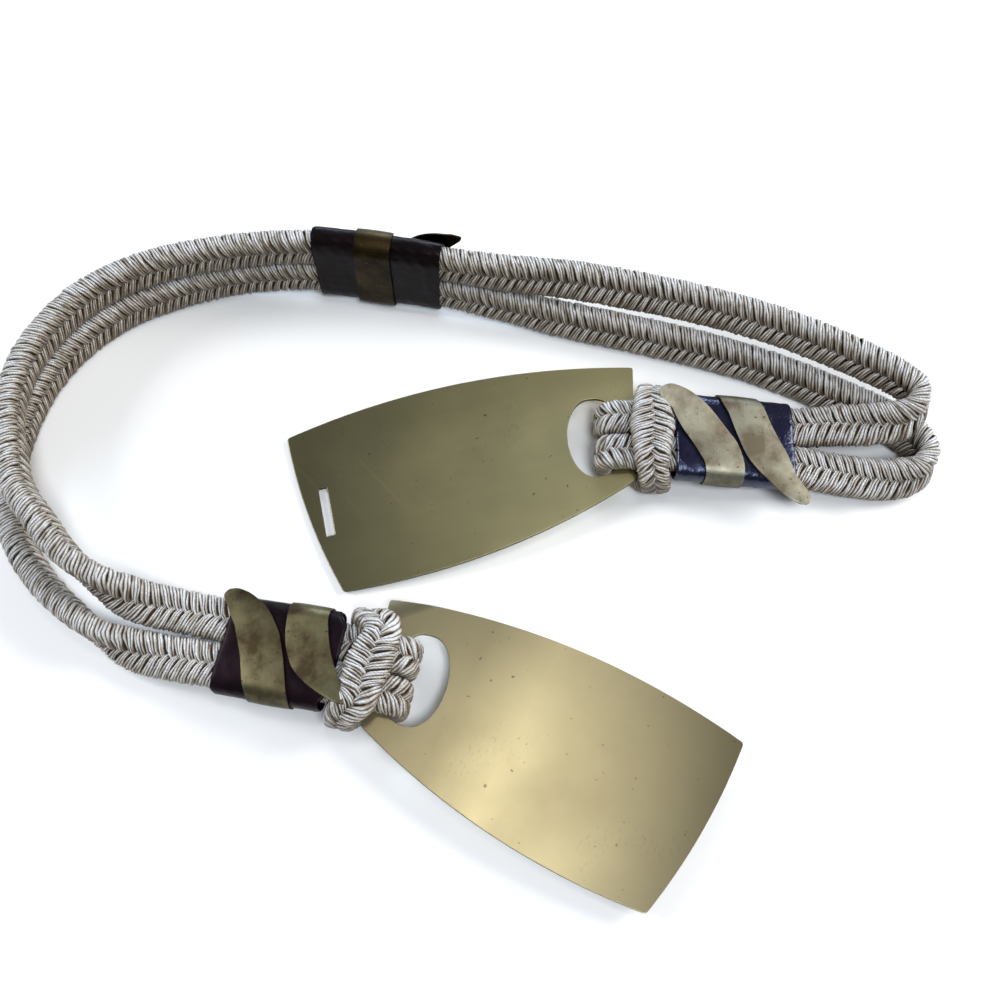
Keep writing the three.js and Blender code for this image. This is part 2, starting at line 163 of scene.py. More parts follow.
class Route:
    def __init__(self, points, wide, perRow=14, spacing=0.8):
        self.points, self.wide = np.array(points, float), np.array(wide, float)
        count = (len(points) - 1) * perRow + 1
        at = np.linspace(0, 1, count)
        line = np.array([catmull(self.points, t, True) for t in at])
        wides = np.array([catmull(self.wide, t, False) for t in at])
        steps = np.linalg.norm(np.diff(line, axis=0), axis=1)
        along = np.concatenate([[0], np.cumsum(steps)])
        self.length = along[-1]
        self.distances = np.linspace(0, self.length, int(self.length / spacing) + 1)
        self.line = np.stack([np.interp(self.distances, along, line[:, k]) for k in range(3)], 1)
        wides = np.stack([np.interp(self.distances, along, wides[:, k]) for k in range(3)], 1)
        self.tangents = unit(np.gradient(self.line, axis=0))
        wides -= self.tangents * (wides * self.tangents).sum(1, keepdims=True)
        self.wides = unit(wides)
        self.outs = np.cross(self.wides, self.tangents)
        self.pull = np.tile((1.0, 0.0, 0.0), (len(self.line), 1))  # wider by, moved by in metres

    def frames(self, distances):
        found = []
        for values in (self.line, self.tangents, self.wides, self.outs):
            found.append(np.stack([np.interp(distances, self.distances, values[:, k]) for k in range(3)], 1))
        return found[0], unit(found[1]), unit(found[2]), unit(found[3])


leadA = {"x": 45.4, "y": 17.9, "heading": -2.2, "side": 1, "wrapEnd": 50.3, "inside": [45, 37]}
leadB = {"x": -39.3, "y": -61.3, "heading": 168.2, "side": -1, "wrapEnd": 44.8, "inside": [39]}
wrapStart = 13.1
wrapFall = {"from": 12.0, "height": 12.1, "slope": 0.13}
cordSpacing = 14.3
cordsMeetAt, meetingGap = 30.0, 0.3

# rows of the long cords, from plate b round to plate a: x, y, z and lean in degrees
topRows = [
    (-99.0, -41.4, 7.6, 86), (-111.5, -39.2, 11.3, 58), (-122.5, -34.4, 16.2, 8),
    (-133.0, -26.9, 19.8, -13), (-141.4, -17.0, 21.3, -18), (-150.1, -5.8, 21.6, -14),
    (-154.8, 8.0, 21.7, -6), (-157.5, 22.0, 21.7, 0), (-156.0, 38.0, 21.7, -3),
    (-150.0, 52.0, 21.7, -5), (-140.5, 64.3, 21.7, -7), (-127.0, 74.0, 21.7, -6),
    (-111.0, 80.3, 21.7, -5), (-96.0, 83.4, 22.0, -4), (-81.0, 84.8, 22.9, -3),
    (-63.5, 84.4, 23.9, -3), (-42.0, 81.4, 23.9, -3), (-20.0, 77.5, 23.9, -3),
    (1.0, 74.7, 22.7, -12), (24.0, 73.4, 20.5, -26), (47.5, 69.5, 19.1, -30),
    (69.0, 63.7, 19.4, -29), (89.5, 56.5, 19.8, -26), (107.0, 48.3, 20.1, -22),
    (120.0, 41.1, 20.3, -17), (129.6, 34.9, 20.4, -11), (135.3, 29.2, 20.4, 0),
    (134.6, 23.4, 20.0, 14), (129.6, 20.0, 18.5, 38), (120.5, 20.2, 15.0, 66),
    (109.0, 22.0, 10.6, 84),
]
lowerRows = [
    (-101.0, -55.8, 5.9, 82), (-111.8, -53.3, 5.9, 50), (-122.4, -48.6, 7.0, 2),
    (-133.0, -41.2, 7.1, -13), (-143.3, -31.6, 7.1, -16), (-152.7, -18.8, 7.1, -13),
    (-157.4, -5.0, 7.1, -4), (-159.8, 10.0, 7.1, 2), (-158.8, 26.0, 7.1, -2),
    (-154.3, 41.6, 7.1, -4), (-145.7, 56.0, 7.1, -6), (-132.6, 68.6, 7.1, -7),
    (-117.0, 76.8, 7.1, -6), (-100.0, 82.0, 7.5, -4), (-83.0, 84.0, 8.5, -3),
    (-63.5, 83.6, 9.6, -3), (-42.0, 80.6, 9.6, -3), (-20.0, 76.7, 9.6, -3),
    (0.0, 71.9, 8.6, -9), (22.0, 66.3, 7.3, -18), (45.0, 60.7, 7.0, -20),
    (66.0, 55.0, 7.0, -19), (86.0, 48.2, 7.0, -18), (104.0, 40.3, 6.9, -21),
    (118.0, 32.9, 6.6, -29), (129.0, 26.4, 6.4, -36), (136.4, 20.2, 6.6, -34),
    (140.0, 13.2, 7.1, -6), (137.4, 7.2, 7.0, 18), (130.5, 4.8, 6.3, 42),
    (121.0, 5.0, 5.6, 66), (109.0, 6.7, 6.1, 84),
]
# half a hitch in its band: along, across, height and wide direction
knotHalf = [
    (17.0, 6.9, 11.5, (0, 1, 0)), (6.0, 6.4, 12.1, (0, 1, 0)), (-3.0, 6.3, 12.15, (0, 1, 0)),
    (-7.2, 6.3, 12.15, (0, 1, 0)), (-10.3, 6.3, 10.8, (0, 1, 0)), (-11.6, 6.3, 7.6, (0, 1, 0)),
    (-10.3, 6.3, 4.4, (0, 1, 0)), (-7.2, 6.3, 3.05, (0, 1, 0)), (-3.0, 6.9, 3.05, (-0.1, 1, 0)),
    (1.6, 9.0, 3.05, (-0.7, 0.7, 0)), (4.9, 12.0, 3.2, (-0.95, 0.25, 0)), (6.6, 15.0, 5.8, (-1, 0, 0)),
    (6.5, 15.8, 9.8, (-1, 0, 0.05)), (5.2, 14.6, 14.2, (-1, 0, 0.15)),
]
knotCrown = [(10.4, 17.5), (5.2, 18.3), (0.0, 18.4)]
crownAt = {"a": 4.4, "b": 1.2}
backWrapRows = {"first": 18, "span": 2}


def bandFrame(lead):
    turn = math.radians(lead["heading"])
    along = np.array((math.cos(turn), math.sin(turn), 0))
    across = np.array((-math.sin(turn), math.cos(turn), 0)) * lead["side"]
    return along, across, np.array((lead["x"], lead["y"], 0)) - middle


def inBand(lead, x, y, z):
    along, across, origin = bandFrame(lead)
    return origin + along * x + across * y + np.array((0, 0, z))


def wrapHeight(x):
    return wrapFall["height"] - wrapFall["slope"] * max(0, x - wrapFall["from"])


def longRoute(rows, side):
    first = cordsMeetAt + meetingGap / 2
    starts = [first, *leadB["inside"], leadB["wrapEnd"] + 1]
    ends = [leadA["wrapEnd"] + 1, *leadA["inside"], first]
    across = side * cordSpacing / 2
    points = [inBand(leadB, x, across, wrapHeight(x)) for x in starts]
    points += [np.array(row[:3]) - middle for row in rows]
    points += [inBand(leadA, x, across, wrapHeight(x)) for x in ends]
    wide = []
    for i in range(len(points)):
        row = i - len(starts)
        if row < 0 or row >= len(rows):
            wide.append(bandFrame(leadB if row < 0 else leadA)[1])
            continue
        tangent = curveTangent(points, i / (len(points) - 1))
        inwards = unit(np.cross(tangent, (0, 0, 1)))
        lean = math.radians(rows[row][3])
        wide.append(np.cross(inwards, tangent) * math.cos(lean) + inwards * math.sin(lean))
    return Route(points, wide)


def knotRoute(lead, crown):
    start = cordsMeetAt - meetingGap / 2
    rows = [(start, cordSpacing / 2, wrapHeight(start), (0, 1, 0))] + knotHalf
    rows += [(crown, y, z, (-1, 0, 0)) for y, z in knotCrown]
    rows += [(x, -y, z, (w[0], -w[1], w[2])) for x, y, z, w in rows[-2::-1]]
    along, across, _ = bandFrame(lead)
    points = [inBand(lead, x, y, z) for x, y, z, _ in rows]
    wide = [along * w[0] + across * w[1] + np.array((0, 0, w[2])) for *_, w in rows]
    return Route(points, wide, spacing=0.5)


topCord = longRoute(topRows, 1)
lowerCord = longRoute(lowerRows, -1)
print("routes made", round(topCord.length), round(lowerCord.length))


# materials: a kit that adds nodes to one tree
class Kit:
    def __init__(self, tree):
        self.tree = tree

    def give(self, node, inputs):
        for key, value in inputs.items():
            if isinstance(value, bpy.types.NodeSocket):
                self.tree.links.new(value, node.inputs[key])
            else:
                node.inputs[key].default_value = value

    def add(self, kind, inputs=None, **settings):
        node = self.tree.nodes.new(kind)
        for key, value in settings.items():
            setattr(node, key, value)
        self.give(node, inputs or {})
        return node

    def out(self, kind, inputs=None, **settings):
        return self.add(kind, inputs, **settings).outputs[0]

    def calc(self, operation, first, *others):
        for other in others or (0.0,):
            first = self.out("ShaderNodeMath", {0: first, 1: other}, operation=operation)
        return first

    def plus(self, *values):
        return self.calc("ADD", *values)

    def minus(self, *values):
        return self.calc("SUBTRACT", *values)

    def times(self, *values):
        return self.calc("MULTIPLY", *values)

    def remap(self, value, low, high, toLow=0.0, toHigh=1.0):
        inputs = {0: value, 1: low, 2: high, 3: toLow, 4: toHigh}
        return self.out("ShaderNodeMapRange", inputs)

    def mix(self, share, a, b, blend="MIX"):
        inputs = {0: share, 6: a, 7: b}
        return self.add("ShaderNodeMix", inputs, data_type="RGBA", blend_type=blend).outputs[2]

    def noise(self, vector, scale, detail=3.0, roughness=0.55):
        inputs = {"Vector": vector, "Scale": scale, "Detail": detail, "Roughness": roughness}
        return self.add("ShaderNodeTexNoise", inputs).outputs["Fac"]

    def stretched(self, vector, scale):
        return self.out("ShaderNodeMapping", {"Vector": vector, "Scale": scale})

    def bump(self, height, strength, distance):
        inputs = {"Height": height, "Strength": strength, "Distance": distance}
        return self.out("ShaderNodeBump", inputs)

    def parts(self, vector):
        return self.add("ShaderNodeSeparateXYZ", {0: vector}).outputs

    def coords(self):
        return self.add("ShaderNodeTexCoord").outputs["Object"]

    def upward(self):
        return self.parts(self.add("ShaderNodeNewGeometry").outputs["True Normal"])[2]


def newMaterial(name):
    material = bpy.data.materials.new(name)
    material.use_nodes = True
    tree = material.node_tree
    return material, Kit(tree), tree.nodes["Principled BSDF"]


def plainMaterial(name, inputs):
    material, kit, shader = newMaterial(name)
    kit.give(shader, inputs)
    return material


yarnLook = {
    # the last four colours are painted light: a cool tint for surfaces that face up, a warm one for those
    # that face down or sideways, and two dark tones of painted shade
    "dull": (0.50, 0.48, 0.44, 1), "bright": (0.62, 0.62, 0.61, 1), "glint": (0.80, 0.82, 0.84, 1),
    "below": (0.86, 0.70, 0.50, 1), "above": (1.0, 1.03, 1.10, 1),
    "deep": (0.07, 0.045, 0.025, 1), "paintedShade": (0.30, 0.25, 0.185, 1),
}


def yarnMaterial(look):
    material, kit, shader = newMaterial("braid_yarn")
    along, across, shade = kit.parts(kit.add("ShaderNodeAttribute", attribute_name="yarn").outputs["Vector"])
    # fine twist lines on each strand
    slant = kit.plus(kit.times(along, 1.4), kit.times(across, 4.0))
    twist = kit.calc("SINE", kit.times(slant, 2 * math.pi))
    coords = kit.coords()
    fine = kit.noise(coords, 1400)
    tone = kit.mix(kit.remap(kit.noise(coords, 70), 0.3, 0.7), look["dull"], look["bright"])
    tone = kit.mix(kit.remap(fine, 0.45, 0.65, 0.0, 0.7), tone, look["glint"])
    # painted light: silvery and cool above, warm brown on the sides and below, by which way the surface faces
    paintedLightTint = kit.mix(kit.remap(kit.upward(), -0.1, 0.7), look["below"], look["above"])
    tone = kit.mix(1.0, tone, paintedLightTint, "MULTIPLY")
    # painted shade: where the stored shade is low the yarn turns dark brown
    shadedYarnTone = kit.mix(kit.remap(shade, 0.25, 0.75), look["deep"], look["paintedShade"])
    height = kit.plus(kit.times(twist, 0.5), fine)
    kit.give(shader, {
        "Base Color": kit.mix(kit.remap(shade, 0.45, 1.0), shadedYarnTone, tone), "Roughness": 0.34,
        "Specular IOR Level": 0.7, "Sheen Weight": 0.1, "Sheen Roughness": 0.4,
        "Normal": kit.bump(height, 0.6, 0.00016),
    })
    return material


leatherLooks = {
    "a": {
        "dark": (0.004, 0.004, 0.010, 1), "sheen": (0.010, 0.008, 0.028, 1),
        "gloss": 0.16, "shine": 0.62, "tint": (0.55, 0.64, 1.0, 1), "rumple": 1.0,
    },
    "b": {
        "dark": (0.0045, 0.002, 0.003, 1), "sheen": (0.011, 0.005, 0.008, 1),
        "gloss": 0.30, "shine": 0.10, "tint": (1.0, 0.85, 0.95, 1), "rumple": 0.5,
    },
    "back": {
        "dark": (0.003, 0.0015, 0.0018, 1), "sheen": (0.007, 0.004, 0.004, 1),
        "gloss": 0.24, "shine": 0.09, "tint": (0.95, 0.9, 1.0, 1), "rumple": 0.5,
    },
}


def leatherMaterial(name, look):
    material, kit, shader = newMaterial(name)
    coords = kit.coords()
    tone = kit.mix(kit.remap(kit.noise(coords, 60, 4), 0.35, 0.7), look["dark"], look["sheen"])
    rough = kit.remap(kit.noise(coords, 160, 4), 0.3, 0.7, look["gloss"], look["gloss"] + 0.16)
    height = kit.plus(kit.times(kit.noise(coords, 1100, 2), 0.12), kit.noise(coords, 130, 3))
    kit.give(shader, {
        "Base Color": tone, "Roughness": rough, "Specular IOR Level": look["shine"],
        "Specular Tint": look["tint"], "Normal": kit.bump(height, look["rumple"], 0.0006),
    })
    return material


# wear tables; edge sets how dark faces that tilt from level go, patina on the plate rims and painted shade on
# the ribbons' sloping sides
plateWearAndShade = {
    "scale": 22, "low": 0.42, "high": 0.75, "pits": 420, "pitLow": 0.71, "pitDark": 0.7, "bump": 0.25,
    "marks": 0.13, "edge": 0.2,
}
ribbonWearAndShade = {
    "scale": 90, "low": 0.38, "high": 0.62, "pits": 700, "pitLow": 0.66, "pitDark": 0.8, "bump": 0.6,
    "marks": 0.4, "edge": 0.5,
}
# light and dark tone, roughness, scratches, wear, then distance along the piece in mm and brightness; on the
# plates that brightness is a painted reflection with a painted highlight on plate b, on the ribbons the ends
# are darker
brassLooks = {
    "plate_a": ((0.62, 0.56, 0.30, 1), (0.54, 0.48, 0.25, 1), 0.34, 0.05, plateWearAndShade,
                [(0, 1.12), (35, 0.95), (60, 0.72), (111, 0.32)]),
    "plate_b": ((0.68, 0.59, 0.36, 1), (0.60, 0.50, 0.29, 1), 0.33, 0.06, plateWearAndShade,
                [(0, 0.56), (28, 0.60), (48, 0.92), (70, 0.70), (111, 0.27)]),
    "ribbon_a": ((0.34, 0.325, 0.25, 1), (0.15, 0.125, 0.085, 1), 0.44, 0.08, ribbonWearAndShade,
                 [(0, 0.9), (12, 1.0), (104, 1.0), (124, 0.45)]),
    "ribbon_b": ((0.20, 0.175, 0.095, 1), (0.07, 0.05, 0.026, 1), 0.44, 0.08, ribbonWearAndShade,
                 [(0, 0.38), (18, 1.0)]),
    # the back ribbon's near-black tones are the same brass with a painted dark reflection
    "ribbon_back": ((0.06, 0.04, 0.017, 1), (0.022, 0.013, 0.006, 1), 0.40, 0.08, ribbonWearAndShade,
                    [(0, 0.7), (20, 1.0)]),
}
pitTone = (0.06, 0.045, 0.02, 1)


def brassMaterial(name, light, dark, rough, scratch, wearAndShade, brightnessAlong):
    material, kit, shader = newMaterial(name)
    place = kit.out("ShaderNodeUVMap", uv_map="UVMap")
    share = kit.remap(kit.noise(place, wearAndShade["scale"], 5, 0.6), wearAndShade["low"], wearAndShade["high"])
    along = kit.parts(place)[0]
    # brightness along the piece, a painted reflection on the plates
    level = brightnessAlong[0][1]
    for (start, before), (end, after) in zip(brightnessAlong, brightnessAlong[1:]):
        level = kit.times(level, kit.remap(along, start * mm, end * mm, 1.0, after / before))
    # marks in clusters, and faces that tilt away from level made darker: patina on the plate rims, painted
    # shade on the sloping sides of the ribbons
    cluster = kit.remap(kit.noise(place, 34, 2), 0.58, 0.68)
    marks = kit.remap(kit.noise(kit.stretched(place, (1.6, 0.8, 1)), 700, 3), 0.56, 0.66)
    level = kit.times(level, kit.minus(1.0, kit.times(cluster, marks, wearAndShade["marks"])))
    edge = kit.remap(kit.calc("ABSOLUTE", kit.upward()), 0.35, 0.95, wearAndShade["edge"], 1.0)
    level = kit.times(level, edge)
    grey = kit.out("ShaderNodeCombineColor", {0: level, 1: level, 2: level})
    tone = kit.mix(1.0, kit.mix(share, light, dark), grey, "MULTIPLY")
    # long fine scratches at two angles, and dark pits
    fine = kit.noise(kit.stretched(place, (2, 260, 1)), 6.0, 3)
    second = kit.out("ShaderNodeVectorRotate", {"Vector": place, "Angle": 1.1}, rotation_type="Z_AXIS")
    cross = kit.noise(kit.stretched(second, (3, 300, 1)), 3.0, 3)
    pit = kit.remap(kit.noise(place, wearAndShade["pits"], 2, 0.5), wearAndShade["pitLow"], wearAndShade["pitLow"] + 0.05)
    tone = kit.mix(kit.times(pit, wearAndShade["pitDark"]), tone, pitTone)
    base = kit.plus(kit.times(fine, scratch), rough - scratch / 2)
    base = kit.plus(base, kit.times(kit.remap(cross, 0.62, 0.75), scratch), kit.times(share, 0.08))
    height = kit.plus(kit.times(fine, 0.3), kit.times(cross, 0.25))
    height = kit.minus(height, kit.times(pit, 0.8))
    kit.give(shader, {
        "Metallic": 1.0, "Base Color": tone, "Roughness": base,
        "Normal": kit.bump(height, wearAndShade["bump"], 0.00008),
    })
    return material


yarn = yarnMaterial(yarnLook)
core = plainMaterial("braid_core", {"Base Color": (0.05, 0.035, 0.02, 1), "Roughness": 0.9})
leathers = {key: leatherMaterial("leather_" + key, look) for key, look in leatherLooks.items()}
brasses = {key: brassMaterial("brass_" + key, *look) for key, look in brassLooks.items()}
print("materials made")


# braid: yarns laid in a figure of eight round the two lobes, by geometry nodes
braidInputs = {
    "NodeSocketGeometry": ["Path"],
    "NodeSocketFloat": [
        "Length", "Lay", "Half Width", "Half Height", "Cross Over", "Yarn Width", "Yarn Height", "Breaks",
        "Seed",
    ],
    "NodeSocketInt": ["Carriers", "Steps", "Profile"],
    "NodeSocketMaterial": ["Material"],
}
stitch = {
    "lobePower": 0.78, "groovePower": 2.4, "strandPower": 0.65, "humpPower": 0.7, "strands": 3,
    "lean": 0.030, "wobble": 2.8, "swing": 0.0015, "narrowing": 0.42, "turnSteps": 30,
}


def braidTree():
    tree = bpy.data.node_groups.new("braid", "GeometryNodeTree")
    for kind, names in braidInputs.items():
        for name in names:
            tree.interface.new_socket(name=name, in_out="INPUT", socket_type=kind)
    tree.interface.new_socket(name="Geometry", in_out="OUTPUT", socket_type="NodeSocketGeometry")
    given = tree.nodes.new("NodeGroupInput").outputs
    kit = Kit(tree)
    plus, minus, times, calc = kit.plus, kit.minus, kit.times, kit.calc

    def vec(operation, a, b=None, scale=None):
        inputs = {key: value for key, value in ((0, a), (1, b), ("Scale", scale)) if value is not None}
        node = kit.add("ShaderNodeVectorMath", inputs, operation=operation)
        return node.outputs["Value" if operation == "DOT_PRODUCT" else "Vector"]

    def join(x, y, z):
        return kit.out("ShaderNodeCombineXYZ", {0: x, 1: y, 2: z})

    def named(name, kind):
        return kit.out("GeometryNodeInputNamedAttribute", {"Name": name}, data_type=kind)

    def stored(geometry, name, value, domain, kind):
        inputs = {"Geometry": geometry, "Name": name, "Value": value}
        settings = {"domain": domain, "data_type": kind}
        return kit.out("GeometryNodeStoreNamedAttribute", inputs, **settings)

    def sampled(name, distance):
        inputs = {"Curves": curve, "Value": named(name, "FLOAT_VECTOR"), "Length": distance}
        settings = {"mode": "LENGTH", "data_type": "FLOAT_VECTOR", "use_all_curves": False}
        return kit.add("GeometryNodeSampleCurve", inputs, **settings).outputs

    def squared(value):
        return times(calc("SIGN", value), calc("POWER", calc("ABSOLUTE", value), stitch["lobePower"]))

    def arches(count, power):
        return calc("POWER", calc("ABSOLUTE", calc("SINE", times(v, count * math.pi))), power)

    curve = kit.out("GeometryNodeMeshToCurve", {"Mesh": given["Path"]})
    strip = kit.out("GeometryNodeMeshGrid", {
        "Size X": 1.0, "Size Y": 1.0, "Vertices X": given["Steps"], "Vertices Y": given["Profile"],
    })
    starts = kit.out("GeometryNodePoints", {"Count": given["Carriers"]})
    placed = kit.out("GeometryNodeInstanceOnPoints", {"Points": starts, "Instance": strip})
    index = kit.out("GeometryNodeInputIndex")
    numbered = stored(placed, "carrier", index, "INSTANCE", "FLOAT")
    real = kit.out("GeometryNodeRealizeInstances", {"Geometry": numbered})

    which = named("carrier", "FLOAT")
    spot = kit.parts(kit.out("GeometryNodeInputPosition"))
    s, v = plus(spot[0], 0.5), plus(spot[1], 0.5)
    z = times(s, given["Length"])
    turns = plus(calc("DIVIDE", z, given["Lay"]), calc("DIVIDE", which, given["Carriers"]))
    twicePhase = times(turns, 2 * math.pi, 2.0)
    side = minus(times(calc("LESS_THAN", calc("FRACT", turns), 0.5), 2.0), 1.0)
    # round one lobe: from the groove over the outer face, round the edge and back by the inner face
    angle = times(minus(0.5, calc("FRACT", times(turns, 2.0))), 2 * math.pi)
    cosine, sine = calc("COSINE", angle), calc("SINE", angle)
    halfWide = times(given["Half Width"], 0.5)
    fromGroove = plus(squared(cosine), 1.0)
    a = times(minus(times(fromGroove, halfWide), given["Cross Over"]), side)
    b = times(squared(sine), given["Half Height"])
    grooveNear = calc("POWER", minus(1.0, times(fromGroove, 0.5)), stitch["groovePower"])
    # the stitches lean most where they cross in the groove
    z = plus(z, times(calc("SINE", twicePhase), given["Lay"], stitch["lean"]))
    normal = join(times(cosine, side), sine, 0.0)
    down = times(calc("DIVIDE", 1.0, given["Lay"]), -4 * math.pi)
    alongA = times(sine, -1.0, halfWide, side, down)
    alongB = times(cosine, given["Half Height"], down)
    climb = plus(1.0, times(calc("COSINE", twicePhase), stitch["lean"] * 4 * math.pi))
    run = vec("NORMALIZE", join(alongA, alongB, climb))
    sideways = vec("NORMALIZE", vec("CROSS_PRODUCT", run, normal))
    # the profile: strands side by side, low at both edges, each a little uneven
    strands, hump = arches(stitch["strands"], stitch["strandPower"]), arches(1, stitch["humpPower"])
    strand = calc("FLOOR", times(v, stitch["strands"] - 0.001))
    where = join(times(turns, 7.0), plus(times(which, 7.3), times(strand, 3.1)), 0.0)
    inputs = {"Scale": 1.0, "Detail": 1.0, "Vector": where, "W": given["Seed"]}
    rough = kit.out("ShaderNodeTexNoise", inputs, noise_dimensions="4D")
    uneven = minus(rough, 0.5)
    rise = plus(times(strands, 1.15), times(hump, plus(0.75, times(grooveNear, 0.8))))
    lift = times(minus(plus(rise, times(uneven, stitch["wobble"])), 0.9), given["Yarn Height"])
    spread = times(given["Yarn Width"], minus(1.0, times(grooveNear, stitch["narrowing"])))
    aside = plus(times(minus(v, 0.5), spread), times(uneven, stitch["swing"]))
    offset = vec("ADD", vec("SCALE", sideways, scale=aside), vec("SCALE", normal, scale=lift))
    local = kit.parts(vec("ADD", join(a, b, z), offset))
    # laid along the path, in the frame of its wide direction
    at = sampled("wide", local[2])
    tangent = vec("NORMALIZE", at["Tangent"])
    slope = vec("SCALE", tangent, scale=vec("DOT_PRODUCT", at["Value"], tangent))
    flat = vec("NORMALIZE", vec("SUBTRACT", at["Value"], slope))
    out = vec("CROSS_PRODUCT", flat, tangent)
    # squeezed or spread and moved sideways where a knot does so
    pulled = kit.parts(sampled("pull", local[2])["Value"])
    wideBy = plus(times(local[0], pulled[0]), pulled[1])
    world = vec("ADD", vec("SCALE", flat, scale=wideBy), vec("SCALE", out, scale=local[1]))
    world = vec("ADD", at["Position"], world)
    # painted shade, darker between strands and stitches and where the surface looks down or sideways, with
    # random unevenness from noise
    looks = vec("ADD", vec("SCALE", flat, scale=times(cosine, side)), vec("SCALE", out, scale=sine))
    facing = kit.remap(kit.parts(looks)[2], -0.5, 0.85, 0.42, 1.06)
    between = minus(1.0, times(minus(1.0, strands), 0.85))
    atEdge = minus(1.0, times(minus(1.0, hump), plus(0.45, times(grooveNear, 0.5))))
    shade = times(between, atEdge, facing, plus(times(rough, 0.7), 0.65))
    inputs = {"Scale": 1.0, "Detail": 1.0, "Vector": vec("SCALE", where, scale=given["Breaks"])}
    breaks = kit.out("ShaderNodeTexNoise", inputs)
    shade = times(shade, plus(times(minus(breaks, 0.5), 1.9), 0.98))
    # for the material: distance along the yarn, place across it and the shade
    told = join(plus(times(turns, 40.0), times(strand, 3.7)), v, shade)
    kept = stored(real, "yarn", told, "POINT", "FLOAT_VECTOR")
    moved = kit.out("GeometryNodeSetPosition", {"Geometry": kept, "Position": world})
    smooth = kit.out("GeometryNodeSetShadeSmooth", {"Geometry": moved})
    done = kit.out("GeometryNodeRealizeInstances", {"Geometry": smooth})
    painted = kit.out("GeometryNodeSetMaterial", {"Geometry": done, "Material": given["Material"]})
    kit.give(tree.nodes.new("NodeGroupOutput"), {"Geometry": painted})
    return tree


braidGroup = braidTree()


def setInputs(modifier, values):
    for item in modifier.node_group.interface.items_tree:
        if item.item_type == "SOCKET" and item.in_out == "INPUT" and item.name in values:
            modifier[item.identifier] = values[item.name]


def pathObject(name, route):
    mesh = bpy.data.meshes.new(name)
    points = [tuple(p * mm) for p in route.line]
    mesh.from_pydata(points, [(i, i + 1) for i in range(len(points) - 1)], [])
    for key, values in (("wide", route.wides), ("pull", route.pull)):
        layer = mesh.attributes.new(key, "FLOAT_VECTOR", "POINT")
        layer.data.foreach_set("vector", values.astype(np.float32).ravel())
    return linked(name, mesh)


# the dark core that fills each braid
coreShape = {"sides": 20, "waist": 0.62, "step": 2.5, "lessWide": 1.2, "lessHigh": 0.95}


def coreSection(halfWide, halfHigh):
    ring = []
    for k in range(coreShape["sides"]):
        angle = 2 * math.pi * k / coreShape["sides"]
        reach = math.cos(angle)
        lobe = coreShape["waist"] + (1 - coreShape["waist"]) * min(1, abs(reach) * 1.6)
        ring.append((halfWide * reach, halfHigh * lobe * math.sin(angle)))
    return ring


def addCore(name, route, look):
    distances = np.linspace(0, route.length, int(route.length / coreShape["step"]))
    ring = coreSection(look["halfWidth"] - coreShape["lessWide"], look["halfHeight"] - coreShape["lessHigh"])
    line, _, wides, outs = route.frames(distances)
    points, uv = [], []
    for i, d in enumerate(distances):
        wider, moved = (np.interp(d, route.distances, route.pull[:, k]) for k in range(2))
        for j, (a, b) in enumerate(ring):
            points.append((line[i] + wides[i] * (a * wider + moved / mm) + outs[i] * b) * mm)
            uv.append((d, j / len(ring)))
    filler = meshObject(name, points, gridFaces(len(distances), len(ring), closed=True), uv)
    finishPiece(filler, core)
    return filler


def braid(name, route, look, seed):
    path = pathObject(name, route)
    modifier = path.modifiers.new("braid", "NODES")
    modifier.node_group = braidGroup
    setInputs(modifier, {
        "Length": route.length * mm, "Lay": look["lay"] * mm, "Carriers": look["carriers"],
        "Half Width": (look["halfWidth"] + look["crossOver"] - look["yarnHeight"]) * mm,
        "Half Height": (look["halfHeight"] - look["yarnHeight"]) * mm,
        "Cross Over": look["crossOver"] * mm, "Yarn Width": look["yarnWidth"] * mm,
        "Yarn Height": look["yarnHeight"] * mm, "Profile": look["profile"],
        "Steps": int(route.length / look["lay"] * stitch["turnSteps"]),
        "Breaks": look["breaks"], "Seed": seed, "Material": yarn,
    })
    mesh = evaluatedMesh(path)
    path.modifiers.clear()
    old = path.data
    path.data = mesh
    bpy.data.meshes.remove(old)
    mesh.name = name
    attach(path, "root")
    return path


def freeCord(name, node, route, look, seed):
    piece = braid(name, route, look, seed)
    filler = addCore(name + "_core", route, look)
    path = [tuple(p * mm) for p in (*route.line[::4], route.line[-1])]
    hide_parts(node)


looseLook = {
    "lay": 21.7, "carriers": 7, "halfWidth": 7.05, "halfHeight": 3.65, "yarnWidth": 2.95,
    "yarnHeight": 0.44, "crossOver": 0.8, "profile": 16, "breaks": 2.7, "diameter": 0.0141,
}
knotLook = {
    **looseLook, "lay": 19.6, "halfWidth": 6.1, "halfHeight": 2.95, "yarnWidth": 2.7,
    "yarnHeight": 0.40, "crossOver": 0.7, "diameter": 0.0122,
}
knotPull = {  # share of the way, wider by, moved along the wide direction
    "a": [(0.0, 1.0, 0.0), (0.30, 1.0, 0.0), (0.36, 0.80, 0.9), (0.42, 0.84, 0.9), (0.50, 1.24, 0.6),
          (0.58, 0.84, 0.9), (0.64, 0.80, 0.9), (0.70, 1.0, 0.0), (1.0, 1.0, 0.0)],
    "b": [(0.0, 1.0, 0.0), (0.30, 1.0, 0.0), (0.36, 0.76, 1.4), (0.40, 0.80, 1.8), (0.44, 0.95, 3.6),
          (0.50, 1.22, 1.8), (0.57, 0.88, 1.2), (0.64, 0.74, 1.8), (0.70, 1.0, 0.0), (1.0, 1.0, 0.0)],
}


def hitchRoute(key, lead):
    route = knotRoute(lead, crownAt[key])
    share = route.distances / route.length
    at, wider, moved = (np.array(column) for column in zip(*knotPull[key]))
    route.pull = np.stack([np.interp(share, at, wider), np.interp(share, at, moved) * mm, share * 0], 1)
    return route


